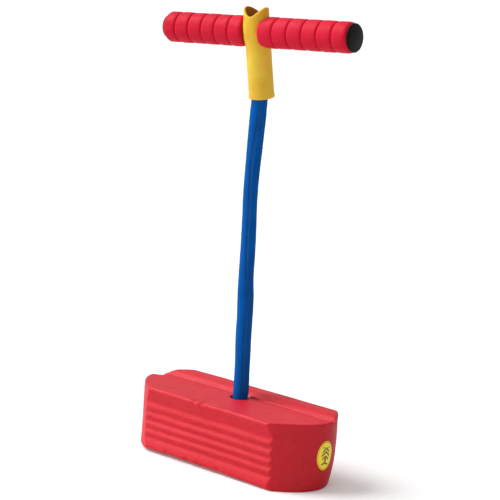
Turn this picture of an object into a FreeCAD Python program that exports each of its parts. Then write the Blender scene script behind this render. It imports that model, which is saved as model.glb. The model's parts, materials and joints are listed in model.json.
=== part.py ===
import FreeCAD, Part
import math
import os

# Foam jumper: a fluted foam block with a cord rising from its top to a T-shaped handle
# with foam grips. Millimetres. The origin is on the ground under the middle of the block,
# +Z up, +X along the block towards the labelled end, -Y the front long face.

os.makedirs("parts", exist_ok=True)
Vector = FreeCAD.Vector

# ---------------------------------------------------------------- shared dimensions
BLOCK_H = 85.6  # height of the flat top
STRIP_Z = 90.0  # height of the raised strip along the rear edge
CORD_R = 9.8  # outside of the cord's cover
PIVOT_Z = 84.0  # centre of the cord's half-round lower end
ANCHOR_R = 28.0  # recess for the anchor, open underneath
ANCHOR_TOP = 27.5
SQUEAKER_X = 66.0  # squeaker axis, beside the cord
SQUEAKER_R = 17.0  # squeaker pocket
BAR_R = 11.0  # outside of the handlebar


# ---------------------------------------------------------------- helpers
def cylinder(r, z0, z1, x=0.0):
    return Part.makeCylinder(r, z1 - z0, Vector(x, 0, z0))


def cylinder_x(r, x0, x1, z=0.0):
    return Part.makeCylinder(r, x1 - x0, Vector(x0, 0, z), Vector(1, 0, 0))


def tube(outer_r, inner_r, z0, z1, x=0.0):
    return cylinder(outer_r, z0, z1, x).cut(cylinder(inner_r, z0 - 1, z1 + 1, x))


def spline(points):
    curve = Part.BSplineCurve()
    curve.interpolate(points)
    return curve.toShape()


def revolve_x(points):
    """Solid of revolution about the X axis from a closed outline of (x, radius) points."""
    outline = Part.makePolygon([Vector(x, 0, r) for x, r in points + points[:1]])
    return Part.Face(outline).revolve(Vector(0, 0, 0), Vector(1, 0, 0), 360)


def save(name, shape):
    if len(shape.Solids) == 1:
        shape = shape.Solids[0]
    if not shape.isValid():
        raise RuntimeError(name + " is not valid")
    shape.exportStep("parts/" + name + ".step")


# ---------------------------------------------------------------- foam block
EDGE_L = 223.0  # straight length of the front face, measured at the flutes
BOW_W = 112.2  # width over which the ends bow out
BULGE_R = 38.0  # how far the +X end bows out past the front corners
BULGE_L = 42.0  # the same at the -X end, at its top
TAPER_R = 12.0  # the +X end draws in by this much at its rear bottom corner
SWELL_L = 5.0  # how much further the -X end bows out at its foot
SWELL_TOP = 86.0  # height where the swelling starts
FRONT_Y = -61.2  # front top corner
REAR_Y = 45.0  # rear top corner
FLUTE_PITCH = 11.8
FLUTE_Z = [65.1 - FLUTE_PITCH * i for i in range(5)]  # deepest line of each flute
HOLE_R = 11.5  # hole the cord comes out of
MOUTH = 1.2  # chamfer at the mouth of the hole
SQUEAKER_TOP = 47.0  # top of the squeaker pocket
NICK_Y, NICK_R = -8.3, 2.2  # nick in the top edge of the +X end
DENT_Y, DENT_R = 6.0, 8.0  # dent in the top edge of the -X end
EXTRUDE_FROM, EXTRUDE_L = -200.0, 400.0  # long enough to pass both ends
END_LEVELS = (-3.0, 8.0, 20.0, 34.0, 50.0, 66.0, 80.0, 95.0)


def flutes(bottom_y, crest_y):
    """(y, z) points down a face: the flutes' bottoms and the crests halfway between."""
    points = []
    for z in FLUTE_Z:
        points += [(bottom_y, z), (crest_y, z - FLUTE_PITCH / 2)]
    return points[:-1]


# Cross-section of the block, all points (y, z).
# Front, from the ground up: rounded foot, flutes, overhanging shoulder
FRONT = [
    (-54.0, 0.0), (-57.2, 1.2), (-58.9, 3.8), (-58.7, 8.0), (-57.5, 13.0),
    *reversed(flutes(-56.1, -58.0)),
    (-56.9, 70.0), (-58.7, 75.0), (-60.5, 80.0), (FRONT_Y, 83.4), (-59.7, 85.1),
    (-57.2, BLOCK_H),
]
# Rear, from the top down
REAR = [
    (REAR_Y - 2.4, STRIP_Z), (REAR_Y - 0.6, STRIP_Z - 0.8), (REAR_Y, STRIP_Z - 2.8),
    (REAR_Y - 0.6, 80.0), (REAR_Y - 2.4, 71.0),
    *flutes(REAR_Y - 4.0, REAR_Y - 2.2),
    (REAR_Y - 2.6, 11.5), (REAR_Y - 2.0, 6.5), (REAR_Y - 3.4, 2.2), (REAR_Y - 7.0, 0.0),
]
# Top, front to rear: a flat, a small bead with a groove behind it, the raised strip
TOP = [
    FRONT[-1], (8.6, BLOCK_H), (9.8, BLOCK_H + 0.9), (11.9, BLOCK_H + 1.0),
    (13.4, BLOCK_H - 0.5), (15.2, BLOCK_H - 1.3), (17.0, BLOCK_H - 0.8),
    (20.4, STRIP_Z - 1.0), (22.6, STRIP_Z), REAR[0],
]


def clamp(value):
    return min(1.0, max(0.0, value))


def bow(y):
    return 1 - (2 * y / BOW_W) ** 2


def right_end(y, z):
    """x of the +X end: bowed in plan, drawn in towards its rear bottom corner."""
    down = clamp((STRIP_Z - z) / STRIP_Z)
    rearward = clamp((y + 56.0) / 101.0)
    return EDGE_L / 2 + BULGE_R * bow(y) - TAPER_R * down**3.2 * rearward**1.2


def left_end(y, z):
    """x of the -X end: bowed in plan, a little swollen below the top."""
    down = clamp((SWELL_TOP - z) / SWELL_TOP)
    return -(EDGE_L / 2 + (BULGE_L + SWELL_L * down**0.6) * bow(y))


def between_ends(levels, y0, y1, offset=0.0, flat_x=None):
    """Loft up to the +X end surface plus offset, from the -X one or the plane x = flat_x."""
    ys = [y0 + (y1 - y0) * i / 10.0 for i in range(11)]
    wires = []
    for z in levels:
        right = [Vector(right_end(y, z) + offset, y, z) for y in ys]
        if flat_x is None:
            left = [Vector(left_end(y, z), y, z) for y in reversed(ys)]
            left_edge = spline(left)
        else:
            left = [Vector(flat_x, y1, z), Vector(flat_x, y0, z)]
            left_edge = Part.makeLine(*left)
        wires.append(Part.Wire([
            Part.makeLine(left[-1], right[0]),
            spline(right),
            Part.makeLine(right[-1], left[0]),
            left_edge,
        ]))
    return Part.makeLoft(wires, True, False)


def foam_block():
    def at_start(points):
        return [Vector(EXTRUDE_FROM, y, z) for y, z in points]

    edges = [spline(at_start(FRONT)), spline(at_start(REAR))]
    for pair in list(zip(TOP, TOP[1:])) + [(REAR[-1], FRONT[0])]:
        edges.append(Part.makeLine(*at_start(pair)))
    section = Part.Face(Part.Wire(Part.sortEdges(edges)[0]))
    block = section.extrude(Vector(EXTRUDE_L, 0, 0))
    block = block.common(between_ends(END_LEVELS, -66.0, 50.0))
    # cord hole with a chamfered mouth, and the anchor recess underneath
    block = block.cut(cylinder(HOLE_R, ANCHOR_TOP - 1, BLOCK_H + 5))
    mouth = Part.makeCone(HOLE_R, HOLE_R + MOUTH, MOUTH, Vector(0, 0, BLOCK_H - MOUTH))
    block = block.cut(mouth)
    block = block.cut(cylinder(ANCHOR_R, -1, ANCHOR_TOP))
    block = block.cut(cylinder(SQUEAKER_R, -1, SQUEAKER_TOP, SQUEAKER_X))
    nick_at = Vector(right_end(NICK_Y, BLOCK_H) + 0.5, NICK_Y, BLOCK_H + 0.6)
    block = block.cut(Part.makeSphere(NICK_R, nick_at))
    dent_at = Vector(left_end(DENT_Y, BLOCK_H) - 3.0, DENT_Y, BLOCK_H + 3.2)
    return block.cut(Part.makeSphere(DENT_R, dent_at))


# ---------------------------------------------------------------- label on the +X end
LABEL_Y, LABEL_Z = -0.5, 44.9
LABEL_HALF_H, LABEL_HALF_W = 18.4, 12.9
LABEL_TURN = -4.0  # degrees about X
LABEL_GAP, LABEL_FACE = 0.02, 0.52  # its inner and outer faces, from the foam
LABEL_LEVELS = (18.0, 31.0, 44.0, 57.0, 72.0)


def end_label():
    """Oval patch of a thin skin that follows the +X end."""
    ellipse = Part.Ellipse(Vector(0, 0, 0), LABEL_HALF_H, LABEL_HALF_W)
    oval = Part.Face(Part.Wire(ellipse.toShape()))
    oval.rotate(Vector(0, 0, 0), Vector(0, 1, 0), -90)
    oval.rotate(Vector(0, 0, 0), Vector(1, 0, 0), LABEL_TURN)
    oval.translate(Vector(120, LABEL_Y, LABEL_Z))
    outer, inner = [
        between_ends(LABEL_LEVELS, -20.0, 20.0, offset, flat_x=90.0)
        for offset in (LABEL_FACE, LABEL_GAP)
    ]
    return oval.extrude(Vector(50, 0, 0)).common(outer.cut(inner))


# ---------------------------------------------------------------- anchor of the cord
PLUG_T = 10.0  # foam plug that closes the recess
TAIL_GAP = 0.6  # gap at each end of the cord's tail
WASHER_R, WASHER_Z = 20.0, 22.0
PLATE_Z = 23.6  # underside of the plate, on the washer


def tail_ferrule():
    """Ring round the cord's tail, with a groove round its outside."""
    return tube(13.0, CORD_R, 12.0, WASHER_Z).cut(tube(14.0, 12.2, 15.5, 18.5))


def anchor_plate():
    """Disc under the roof of the recess, with a ring channel in its top."""
    plate = tube(ANCHOR_R, CORD_R, PLATE_Z, ANCHOR_TOP)
    return plate.cut(tube(ANCHOR_R - 3.0, 21.0, 25.4, ANCHOR_TOP + 0.5))


# ---------------------------------------------------------------- squeaker
AIR_R = 2.0  # hole through the plug and the case floor
CASE_Z, FLOOR_Z = 6.0, 9.0  # underside and top of the case's floor
CASE_R = 15.0
SOCKET_R = 4.0  # bore of the central post, filled by the reed
CAP_Z, CAP_TOP = 38.8, 41.4  # the cap's disc
BELLOWS_WALL = 1.3
VALLEY_R, RIDGE_R = 11.2, 14.2  # outside of the bellows at its folds
FOLD_Z = (23.0, 25.5, 28.0, 30.5, 33.0, 35.6)  # valley first, then alternating


def squeaker_plug():
    plug = cylinder(SQUEAKER_R, 0, CASE_Z, SQUEAKER_X)
    return plug.cut(cylinder(AIR_R, -1, CASE_Z + 1, SQUEAKER_X))


def squeaker_case():
    """Cup with a bored post in its middle."""
    case = cylinder(CASE_R, CASE_Z, FLOOR_Z, SQUEAKER_X)
    case = case.fuse(tube(CASE_R, 13.2, FLOOR_Z, 20.0, SQUEAKER_X))
    case = case.fuse(cylinder(5.8, FLOOR_Z, 18.0, SQUEAKER_X))
    case = case.cut(cylinder(SOCKET_R, FLOOR_Z, 19.0, SQUEAKER_X))
    case = case.cut(cylinder(AIR_R, CASE_Z - 1, FLOOR_Z + 1, SQUEAKER_X))
    return case.removeSplitter()


def squeaker_reed():
    """Hollow plug, closed at the top but for a slot."""
    reed = cylinder(SOCKET_R, FLOOR_Z, 17.0, SQUEAKER_X)
    reed = reed.cut(cylinder(2.4, FLOOR_Z - 0.5, 15.5, SQUEAKER_X))
    slot_w, slot_l = 0.8, 4.0
    corner = Vector(SQUEAKER_X - slot_w / 2, -slot_l / 2, 15.0)
    return reed.cut(Part.makeBox(slot_w, slot_l, 3.0, corner))


def squeaker_bellows():
    """A thin wall folded in and out, standing in the case."""
    outer = [(12.9, FLOOR_Z + 0.1), (12.9, 20.6)]  # (radius, z)
    for i, z in enumerate(FOLD_Z):
        outer.append((RIDGE_R if i % 2 else VALLEY_R, z))
    outer.append((13.0, CAP_Z - 0.1))
    inner = [(r - BELLOWS_WALL, z) for r, z in reversed(outer)]
    outline = [Vector(SQUEAKER_X + r, 0, z) for r, z in outer + inner + outer[:1]]
    face = Part.Face(Part.makePolygon(outline))
    return face.revolve(Vector(SQUEAKER_X, 0, 0), Vector(0, 0, 1), 360)


def squeaker_cap():
    """Disc with a short collar below it and a rounded top edge."""
    cap = cylinder(14.0, CAP_Z, CAP_TOP, SQUEAKER_X)
    cap = cap.fuse(tube(9.3, 7.8, CAP_Z - 2.0, CAP_Z, SQUEAKER_X))
    boxes = [(edge, edge.BoundBox) for edge in cap.Edges]
    top_rim = [
        edge for edge, box in boxes
        if abs(box.ZMin - CAP_TOP) < 1e-6 and abs(box.ZMax - CAP_TOP) < 1e-6
    ]
    return cap.makeFillet(0.8, top_rim)


# ---------------------------------------------------------------- handle frame
# Handle parts are built with the bar along X and the stem along Z, then placed.
BAR_MIDDLE = Vector(-2.0, -3.0, 546.0)
BAR_YAW = math.radians(8.5)
BAR_TILT = math.radians(2.3)
STEM_LEAN = math.radians(8.5)  # towards the front

bar_dir = Vector(
    math.cos(BAR_YAW) * math.cos(BAR_TILT),
    math.sin(BAR_YAW) * math.cos(BAR_TILT),
    math.sin(BAR_TILT),
)
stem_dir = Vector(0, -math.sin(STEM_LEAN), math.cos(STEM_LEAN))
stem_dir = stem_dir - bar_dir * bar_dir.dot(stem_dir)  # square to the bar
stem_dir.normalize()
side_dir = stem_dir.cross(bar_dir)
TO_HANDLE = FreeCAD.Placement(FreeCAD.Matrix(
    bar_dir.x, side_dir.x, stem_dir.x, BAR_MIDDLE.x,
    bar_dir.y, side_dir.y, stem_dir.y, BAR_MIDDLE.y,
    bar_dir.z, side_dir.z, stem_dir.z, BAR_MIDDLE.z,
    0, 0, 0, 1,
))


def placed(shape):
    moved = shape.copy()
    moved.Placement = TO_HANDLE.multiply(moved.Placement)
    return moved


def on_stem(z):
    """A point on the stem's axis, z along it from the bar."""
    return BAR_MIDDLE + stem_dir * z


# ---------------------------------------------------------------- cord
COVER_IN_R = 7.0  # inside of the cover
CORE_R = 6.5  # rubber core
CORD_END = -29.0  # top end of the cord, on the stem's axis
BEND_END = -58.0  # above this the cord follows the stem
START_Z = PIVOT_Z + 12.0  # straight up to here
CORD_POINTS = [Vector(0, 0, START_Z), Vector(-3.3, 2.2, 270.0), Vector(-2.6, 6.9, 420.0)]


def arc_from(start, tangent, end):
    """The arc leaving start along tangent and ending at end, and its end tangent."""
    chord = end - start
    inward = chord - tangent * chord.dot(tangent)
    inward.normalize()
    radius = chord.dot(chord) / (2 * chord.dot(inward))
    axis = tangent.cross(inward)
    axis.normalize()
    angle = 2 * math.asin(chord.Length / (2 * radius))
    end_tangent = tangent * math.cos(angle) + inward * math.sin(angle)
    return (start, tangent, start + inward * radius, axis, angle), end_tangent


def arc_chain(points, tangent):
    """Tangent arcs through the points, and the tangent at the last one."""
    arcs = []
    for start, end in zip(points, points[1:]):
        arc, tangent = arc_from(start, tangent, end)
        arcs.append(arc)
    return arcs, tangent


def two_arc_joint(start, start_tangent, end, end_tangent):
    """Point where the two arcs meet that join start to end with the given tangents."""
    chord = end - start
    along = chord.dot(start_tangent + end_tangent)
    turn = 1 - start_tangent.dot(end_tangent)
    reach = (-along + math.sqrt(along**2 + 2 * turn * chord.dot(chord))) / (2 * turn)
    return (start + end + (start_tangent - end_tangent) * reach) * 0.5


def cord_arcs():
    lower, tangent = arc_chain(CORD_POINTS, Vector(0, 0, 1))
    start, goal = CORD_POINTS[-1], on_stem(BEND_END)
    joint = two_arc_joint(start, tangent, goal, stem_dir)
    upper, _ = arc_chain([start, joint, goal], tangent)
    return lower + upper


def disc(centre, normal, outer_r, inner_r):
    faces = [
        Part.Face(Part.Wire([Part.makeCircle(r, centre, normal)]))
        for r in (outer_r, inner_r) if r
    ]
    return faces[0].cut(faces[1]).Faces[0] if inner_r else faces[0]


def along_cord(outer_r, inner_r):
    """Lengths of rod or tube along the cord's line, from START_Z to its top end."""
    lengths = []
    for start, tangent, centre, axis, angle in cord_arcs():
        section = disc(start, tangent, outer_r, inner_r)
        lengths.append(section.revolve(centre, axis, math.degrees(angle)))
    section = disc(on_stem(BEND_END), stem_dir, outer_r, inner_r)
    lengths.append(section.extrude(stem_dir * (CORD_END - BEND_END)))
    return lengths


def cord_sleeve():
    """Cover of the cord, with a half-round lower end centred on the pivot."""
    def quarter(r):
        k = r * math.sqrt(0.5)
        return [Vector(0, 0, PIVOT_Z - r), Vector(k, 0, PIVOT_Z - k), Vector(r, 0, PIVOT_Z)]

    outer = quarter(CORD_R)
    inner = quarter(COVER_IN_R)[::-1]
    outer_top = Vector(CORD_R, 0, START_Z)
    inner_top = Vector(COVER_IN_R, 0, START_Z)
    outline = Part.Wire([
        Part.Arc(*outer).toShape(),
        Part.makeLine(outer[-1], outer_top),
        Part.makeLine(outer_top, inner_top),
        Part.makeLine(inner_top, inner[0]),
        Part.Arc(*inner).toShape(),
        Part.makeLine(inner[-1], outer[0]),
    ])
    lower_end = Part.Face(outline).revolve(Vector(0, 0, 0), Vector(0, 0, 1), 360)
    return lower_end.multiFuse(along_cord(CORD_R, COVER_IN_R))


def cord_core():
    start = cylinder(CORE_R, PIVOT_Z + CORE_R + 0.5, START_Z)
    return start.multiFuse(along_cord(CORE_R, 0))


# ---------------------------------------------------------------- handle
FIT = 0.1  # clearance round the bar
BAR_IN = 9.6  # inside of the bar
BAR_R_END = 139.4  # the bar's +X end, from the stem
BAR_L_END = 134.2  # the bar's -X end
BOLT_R = 2.5
TOP_PLUG_R = 12.1
TOP_PLUG_Z = -50.0  # lower end of the top plug, where the retainer starts
COLLAR_R = 15.7
COLLAR_IN = 12.2
COLLAR_BOTTOM = -82.0
COLLAR_PEAK = 31.0
COLLAR_VALLEY = 21.0
GRIP_R = 19.0
GRIP_START = 11.6
SEGMENTS = 6  # rounded segments of each grip


def top_plug():
    """Plug saddled under the bar, hollow below for the cord's head."""
    plug = cylinder(TOP_PLUG_R, TOP_PLUG_Z, -5.0).cut(cylinder_x(BAR_R, -20, 20))
    plug = plug.cut(cylinder(10.9, TOP_PLUG_Z - 1, -26.0))
    return plug.cut(cylinder(BOLT_R, -27, 0))


def handlebar_tube():
    bar = cylinder_x(BAR_R, -BAR_L_END, BAR_R_END)
    bar = bar.cut(cylinder_x(BAR_IN, -BAR_L_END - 1, BAR_R_END + 1))
    return bar.cut(cylinder(BOLT_R, -15, 15))


def bar_bolt():
    """Bolt down through the bar, with a domed head and a cross recess."""
    dome_r = 9.0
    dome = Part.makeSphere(dome_r, Vector(0, 0, BAR_R + 3.4 - dome_r))
    head = dome.common(cylinder(5.0, BAR_R - 0.2, BAR_R + 4))
    bolt = cylinder(BOLT_R, -24.0, BAR_R + 0.1)
    bolt = bolt.fuse(head.cut(cylinder_x(BAR_R, -20, 20))).removeSplitter()
    slots = [
        Part.makeBox(x, y, 2.0, Vector(-x / 2, -y / 2, BAR_R + 1.8))
        for x, y in ((5.0, 1.0), (1.0, 5.0))
    ]
    return bolt.cut(slots[0].fuse(slots[1]))


def collar():
    """Tube over the joint, saddle-cut above the bar."""
    body = cylinder(COLLAR_R, COLLAR_BOTTOM, COLLAR_PEAK)
    drop = COLLAR_PEAK - COLLAR_VALLEY
    saddle_r = (COLLAR_R**2 + drop**2) / (2 * drop)
    saddle_z = COLLAR_PEAK - saddle_r
    below = Part.makeBox(60, 2 * saddle_r, 150, Vector(-30, -saddle_r, saddle_z - 150))
    body = body.common(cylinder_x(saddle_r, -30, 30, saddle_z).fuse(below))
    bottom_rim = [e for e in body.Edges if e.BoundBox.ZMax < COLLAR_BOTTOM + 0.01]
    body = body.makeFillet(0.9, bottom_rim)
    body = body.cut(cylinder(COLLAR_IN, COLLAR_BOTTOM - 1, COLLAR_PEAK + 1))
    return body.cut(cylinder_x(BAR_R + FIT, -30, 30))


def grip(bar_end, soft):
    """Grip on the +X side; soft scales the rounding of its outer end."""
    end = bar_end + 0.4
    step = (end - GRIP_START) / SEGMENTS
    near, low = GRIP_R - 0.1, GRIP_R - 2.6  # shoulder, and groove between segments
    points = [(GRIP_START, BAR_R + FIT)]
    for i in range(SEGMENTS):
        x0 = GRIP_START + i * step
        x1 = x0 + step
        if i == 0:
            points += [(x0, GRIP_R - 1.6), (x0 + 0.5, GRIP_R - 0.6), (x0 + 1.6, GRIP_R)]
        else:
            points += [(x0 + 0.35, low), (x0 + 0.8, GRIP_R - 0.9), (x0 + 2.2, near)]
        points.append(((x0 + x1) / 2, GRIP_R + 0.15))
        if i == SEGMENTS - 1:
            points += [
                (x1 - 3.6 * soft, near),
                (x1 - 1.6 * soft, GRIP_R - 1.0 * soft),
                (x1 - 0.5 * soft, GRIP_R - 2.4 * soft),
                (x1, GRIP_R - 4.6 * min(soft, 1.4)),
            ]
        else:
            points += [(x1 - 2.2, near), (x1 - 0.8, GRIP_R - 0.9), (x1 - 0.35, low)]
    points.append((end, BAR_R + FIT))
    return revolve_x(points).cut(cylinder(COLLAR_R + 0.2, -40, 40))


def end_cap(end, rim_r, dome):
    """Cap in the bar's +X end; dome scales how far its face stands out."""
    lip = 0.5
    points = [(end - 16.0, 0.0), (end - 16.0, BAR_IN - 0.6), (end - 15.0, BAR_IN)]
    points.append((end + lip, BAR_IN))
    face = [  # (x from the bar's end, inset from the rim)
        (lip, 1.2), (0.9, 0.3), (1.8, 0.0), (2.8, 0.6),
        (3.6, 2.4), (4.3, 6.0), (4.7, 11.0), (4.8, rim_r),
    ]
    points += [(end + lip + (x - lip) * dome, rim_r - inset) for x, inset in face]
    return revolve_x(points)


# ---------------------------------------------------------------- pieces
save("foam_block", foam_block())
save("end_label", end_label())
save("bottom_plug", cylinder(ANCHOR_R, 0, PLUG_T))
save("cord_tail", cylinder(CORD_R, PLUG_T + TAIL_GAP, PIVOT_Z - CORD_R - TAIL_GAP))
save("tail_ferrule", tail_ferrule())
save("anchor_washer", tube(WASHER_R, CORD_R, WASHER_Z, PLATE_Z))
save("anchor_plate", anchor_plate())
save("squeaker_plug", squeaker_plug())
save("squeaker_case", squeaker_case())
save("squeaker_reed", squeaker_reed())
save("squeaker_bellows", squeaker_bellows())
save("squeaker_cap", squeaker_cap())
save("cord_sleeve", cord_sleeve())
save("cord_core", cord_core())
save("cord_neck", Part.makeSphere(CORE_R - 0.1, Vector(0, 0, PIVOT_Z)))
save("upper_ferrule", placed(tube(10.85, CORD_R, -46.0, -31.0)))
save("top_plug", placed(top_plug()))
save("plug_retainer", placed(tube(TOP_PLUG_R, CORD_R + 0.15, -56.0, TOP_PLUG_Z)))
save("handlebar_tube", placed(handlebar_tube()))
save("bar_bolt", placed(bar_bolt()))
save("collar", placed(collar()))

# The -X grip has a softer end, and the cap there is smaller and flatter.
for side, bar_end, soft, rim_r, dome, turn in (
    ("right", BAR_R_END, 1.0, 17.6, 1.0, 0),
    ("left", BAR_L_END, 1.5, 14.6, 0.55, 180),
):
    for name, piece in (
        ("grip", grip(bar_end, soft)),
        ("end_cap", end_cap(bar_end, rim_r, dome)),
    ):
        piece.rotate(Vector(0, 0, 0), Vector(0, 0, 1), turn)
        save(side + "_" + name, placed(piece))
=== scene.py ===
"""A foam jumper: a bowed foam block on the ground, a covered stretch cord and a handlebar.

The block stands on z = 0 with the cord's hole at x = y = 0. X runs along the block, -Y is its
front and Z is up. The cord rises to a collar that holds the bar, which is turned and tilted a
little from X. A squeaker sits in a pocket of the block. Lengths are in mm until a mesh is made.
"""

import json
import math

import bmesh
import bpy
import numpy as np
from mathutils import Matrix, Vector, noise


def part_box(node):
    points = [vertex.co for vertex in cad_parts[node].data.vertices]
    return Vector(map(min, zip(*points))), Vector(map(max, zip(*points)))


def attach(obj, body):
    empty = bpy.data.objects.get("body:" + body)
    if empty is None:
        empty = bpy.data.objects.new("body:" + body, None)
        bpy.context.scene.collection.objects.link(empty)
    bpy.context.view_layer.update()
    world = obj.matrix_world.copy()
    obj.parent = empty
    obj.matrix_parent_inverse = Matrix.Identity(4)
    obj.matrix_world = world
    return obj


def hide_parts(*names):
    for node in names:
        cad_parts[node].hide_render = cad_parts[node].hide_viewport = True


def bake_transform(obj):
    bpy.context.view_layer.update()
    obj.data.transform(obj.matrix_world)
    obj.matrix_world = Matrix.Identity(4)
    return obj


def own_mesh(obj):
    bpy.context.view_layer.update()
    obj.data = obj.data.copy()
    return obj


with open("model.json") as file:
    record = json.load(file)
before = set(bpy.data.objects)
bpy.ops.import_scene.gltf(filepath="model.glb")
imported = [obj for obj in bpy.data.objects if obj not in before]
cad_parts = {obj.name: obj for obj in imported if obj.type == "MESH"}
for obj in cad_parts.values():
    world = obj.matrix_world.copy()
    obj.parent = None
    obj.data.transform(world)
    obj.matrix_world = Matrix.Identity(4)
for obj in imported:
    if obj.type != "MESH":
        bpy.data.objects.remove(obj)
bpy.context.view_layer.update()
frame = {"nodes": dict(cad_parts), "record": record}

MM = 0.001
UV_LENGTH = 500.0  # length along a piece that makes one unit of V
JOINTS = {j["name"]: j for j in frame["record"]["behaviour"]["joints"]}
PIVOT = np.array(JOINTS["lean_fore_aft"]["pos_m"]) * 1000
BAR_CENTRE = np.array(JOINTS["cord_twist"]["pos_m"]) * 1000
BAR_YAW, BAR_TILT = math.radians(8.5), math.radians(2.3)

# the handle's own axes: along the bar, towards the back, up the collar
HANDLE_UP = np.array(JOINTS["cord_twist"]["axis"], float)
HANDLE_UP /= np.linalg.norm(HANDLE_UP)
BAR_AXIS = np.array([
    math.cos(BAR_YAW) * math.cos(BAR_TILT),
    math.sin(BAR_YAW) * math.cos(BAR_TILT),
    math.sin(BAR_TILT),
])
HANDLE_BACK = np.cross(HANDLE_UP, BAR_AXIS)
HANDLE_AXES = np.array([BAR_AXIS, HANDLE_BACK, HANDLE_UP])

# the squeaker's press shortens the block
PRESS_TRAVEL, PRESS_HEIGHT = 6.0, 90.0
BLOCK_PRESS = dict(anchor=(0, 0, 0), keep=1 - PRESS_TRAVEL / PRESS_HEIGHT)


# ---------------------------------------------------------------- CAD pieces
def mm_box(node):
    lo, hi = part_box(node)
    return np.array(lo) * 1000, np.array(hi) * 1000


def upright(node):
    """Radius, axis point at z = 0, bottom and top of an upright round CAD piece."""
    lo, hi = mm_box(node)
    axis_point = np.array([(lo[0] + hi[0]) / 2, (lo[1] + hi[1]) / 2, 0.0])
    return float(hi[0] - lo[0]) / 2, axis_point, float(lo[2]), float(hi[2])


def bar_end(node, side):
    """How far a CAD piece reaches along the bar towards side (1 or -1)."""
    points = np.array([v.co for v in frame["nodes"][node].data.vertices]) * 1000
    return float((side * ((points - BAR_CENTRE) @ BAR_AXIS)).max())


def in_handle(points):
    """Places points given along the handle's own axes from the bar's centre."""
    return BAR_CENTRE + points @ HANDLE_AXES


def fit(ob, node, body=None, press=None):
    """Puts ob in a CAD piece's place. It rides on body, or has its placement baked into its mesh if
    body is None.
    """
    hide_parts(node)
    if body is None:
        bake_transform(ob)
    else:
        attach(ob, body)
    if press:
        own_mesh(ob)


# ---------------------------------------------------------------- curves and noise
def smooth(start, end, x):
    t = np.clip((np.asarray(x, float) - start) / (end - start), 0, 1)
    return t * t * (3 - 2 * t)


def bell(x, centre, width):
    return np.exp(-(((x - centre) / width) ** 2))


def lengths(points):
    """Distance along a polyline at each of its points."""
    steps = np.linalg.norm(np.diff(points, axis=0), axis=1)
    return np.concatenate([[0], np.cumsum(steps)])


def resample(points, count):
    """count points evenly spaced along a polyline."""
    points = np.asarray(points, float)
    t = lengths(points)
    u = np.linspace(0, t[-1], count)
    return np.stack([np.interp(u, t, column) for column in points.T], 1)


def spline(points, count):
    """count evenly spaced points on a natural cubic spline with chord-length parameter."""
    p = np.array(points, float)
    t = lengths(p)
    h = np.diff(t)
    size = len(p)
    system = np.zeros((size, size))
    rhs = np.zeros((size, p.shape[1]))
    system[0, 0] = system[-1, -1] = 1
    for i in range(1, size - 1):
        system[i, i - 1 : i + 2] = h[i - 1], 2 * (h[i - 1] + h[i]), h[i]
        rhs[i] = 6 * ((p[i + 1] - p[i]) / h[i] - (p[i] - p[i - 1]) / h[i - 1])
    second = np.linalg.solve(system, rhs)
    u = np.linspace(0, t[-1], 1200)
    k = np.clip(np.searchsorted(t, u, side="right") - 1, 0, size - 2)
    before, after, span = (u - t[k])[:, None], (t[k + 1] - u)[:, None], h[k][:, None]
    curve = (
        second[k] * after**3 / (6 * span)
        + second[k + 1] * before**3 / (6 * span)
        + (p[k] / span - second[k] * span / 6) * after
        + (p[k + 1] / span - second[k + 1] * span / 6) * before
    )
    return resample(curve, count)


def chaikin(points, rounds):
    """Cuts the corners of an open polyline, keeping its ends."""
    points = np.asarray(points, float)
    for _ in range(rounds):
        cut = [points[0]]
        for a, b in zip(points, points[1:]):
            cut += [a * 0.75 + b * 0.25, a * 0.25 + b * 0.75]
        cut.append(points[-1])
        points = np.array(cut)
    return points


def subdivide(points, step):
    """Splits the segments of an open polyline into parts about step long."""
    dense = [points[0]]
    for a, b in zip(points, points[1:]):
        parts = max(1, int(round(math.hypot(b[0] - a[0], b[1] - a[1]) / step)))
        for j in range(1, parts + 1):
            dense.append((a[0] + (b[0] - a[0]) * j / parts, a[1] + (b[1] - a[1]) * j / parts))
    return dense


def noise_at(points):
    return np.array([noise.noise(Vector(p)) for p in points])


def soft_noise(points, scale, seed):
    """Noise of about -1 to 1 at points, with features scale mm across."""
    return noise_at(points / scale + seed * np.array([1.0, -0.7, 1.3])) * 1.6


def tube_noise(angles, radius, along):
    """Noise that closes on itself round a tube."""
    along = np.broadcast_to(along, angles.shape)
    return noise_at(np.stack([np.cos(angles) * radius, np.sin(angles) * radius, along], 1))


def turn(count):
    return np.linspace(0, 2 * math.pi, count, endpoint=False)


# ---------------------------------------------------------------- meshes
def tidy(mesh, split_caps=False):
    """Turns the faces outward, if asked after splitting those with over four corners."""
    bm = bmesh.new()
    bm.from_mesh(mesh)
    if split_caps:
        bmesh.ops.triangulate(bm, faces=[f for f in bm.faces if len(f.verts) > 4])
    bmesh.ops.recalc_face_normals(bm, faces=bm.faces)
    bm.to_mesh(mesh)
    bm.free()


def shade(mesh, sharp=None):
    """Smooth shading, with edges over sharp degrees kept crisp."""
    mesh.polygons.foreach_set("use_smooth", [True] * len(mesh.polygons))
    if sharp:
        mesh.set_sharp_from_angle(angle=math.radians(sharp))


def make(name, verts, faces, uvs=None, sharp=None, marks=None):
    """A mesh object from points in mm."""
    mesh = bpy.data.meshes.new(name)
    mesh.from_pydata((np.asarray(verts) * MM).tolist(), [], [list(map(int, f)) for f in faces])
    mesh.validate()
    tidy(mesh)
    shade(mesh, sharp)
    ob = bpy.data.objects.new(name, mesh)
    bpy.context.scene.collection.objects.link(ob)
    if uvs is not None:
        layer = mesh.uv_layers.new(name="UVMap")
        for loop in mesh.loops:
            layer.data[loop.index].uv = uvs[loop.vertex_index]
    if marks is not None:
        layer = mesh.attributes.new("marks", "FLOAT", "POINT")
        layer.data.foreach_set("value", [float(k) for k in marks])
    return ob


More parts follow.
